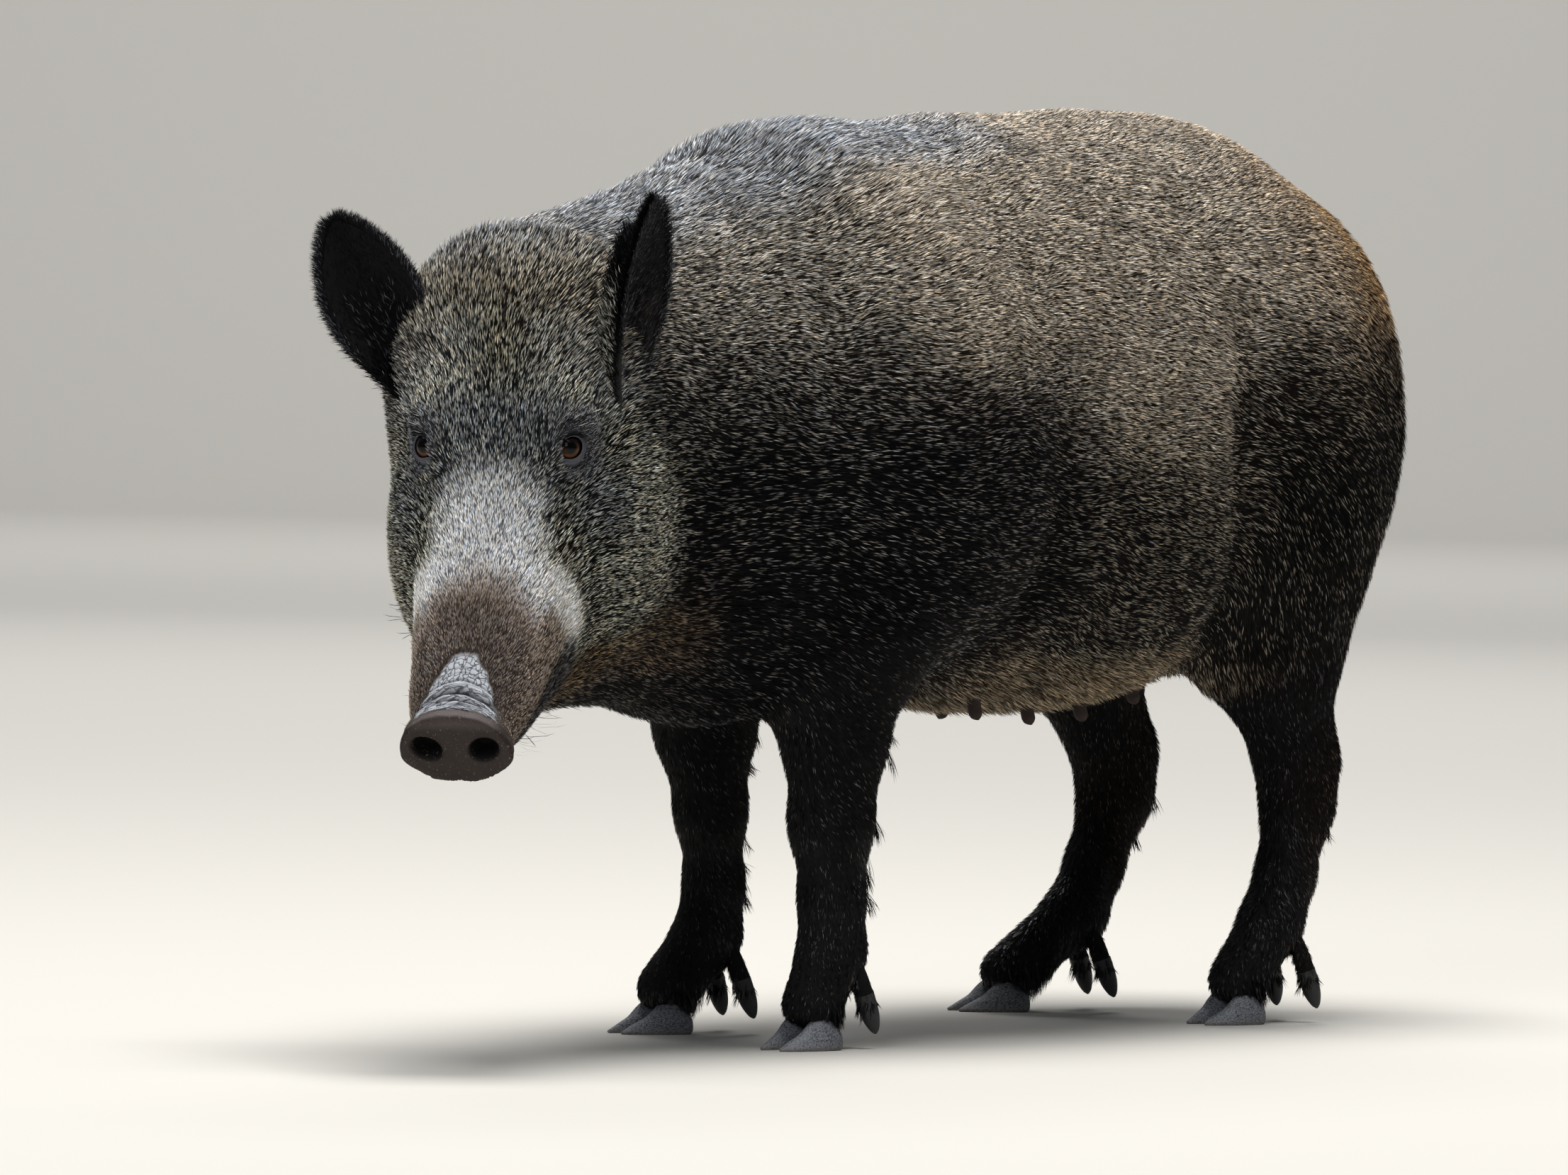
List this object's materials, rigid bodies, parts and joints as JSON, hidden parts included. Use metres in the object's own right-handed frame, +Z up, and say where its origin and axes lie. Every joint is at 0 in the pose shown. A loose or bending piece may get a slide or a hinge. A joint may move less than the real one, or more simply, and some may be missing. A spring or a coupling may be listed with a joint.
{
  "type": "wild boar",
  "caption": "Life-size still model of a standing wild sow in short summer bristles, head lowered and turned to its left, claws flat on the floor.",
  "frame": {"origin": "on the floor, under the middle of the whole animal's box", "axes": "+X her left side, -Y the way the body faces, +Z up"},
  "size_m": [0.399, 1.3651, 0.7482],
  "materials": {
    "grizzled_coat": "coarse grizzled bristles, near black at the root with pale straw tips",
    "black_coat": "short black-brown hair",
    "nose_skin": "bare damp dark skin",
    "eye": "wet dark brown eyeball",
    "horn": "dusty grey-black horn"
  },
  "bodies": {
    "root": {"barrel": "grizzled_coat", "cannon_fore_left": "black_coat", "cannon_fore_right": "black_coat", "cannon_hind_left": "black_coat", "cannon_hind_right": "black_coat", "claw_fore_left_inner": "horn", "claw_fore_left_outer": "horn", "claw_fore_right_inner": "horn", "claw_fore_right_outer": "horn", "claw_hind_left_inner": "horn", "claw_hind_left_outer": "horn", "claw_hind_right_inner": "horn", "claw_hind_right_outer": "horn", "dewclaw_fore_left_inner": "horn", "dewclaw_fore_left_outer": "horn", "dewclaw_fore_right_inner": "horn", "dewclaw_fore_right_outer": "horn", "dewclaw_hind_left_inner": "horn", "dewclaw_hind_left_outer": "horn", "dewclaw_hind_right_inner": "horn", "dewclaw_hind_right_outer": "horn", "ear_left": "black_coat", "ear_right": "black_coat", "eye_left": "eye", "eye_right": "eye", "foot_fore_left": "black_coat", "foot_fore_right": "black_coat", "foot_hind_left": "black_coat", "foot_hind_right": "black_coat", "forearm_fore_left": "black_coat", "forearm_fore_right": "black_coat", "head": "grizzled_coat", "hindquarters": "grizzled_coat", "lower_jaw": "grizzled_coat", "muzzle": "grizzled_coat", "neck": "grizzled_coat", "shoulders": "grizzled_coat", "snout_disc": "nose_skin", "tail": "black_coat", "thigh_hind_left": "black_coat", "thigh_hind_right": "black_coat"}
  },
  "joints": []
}
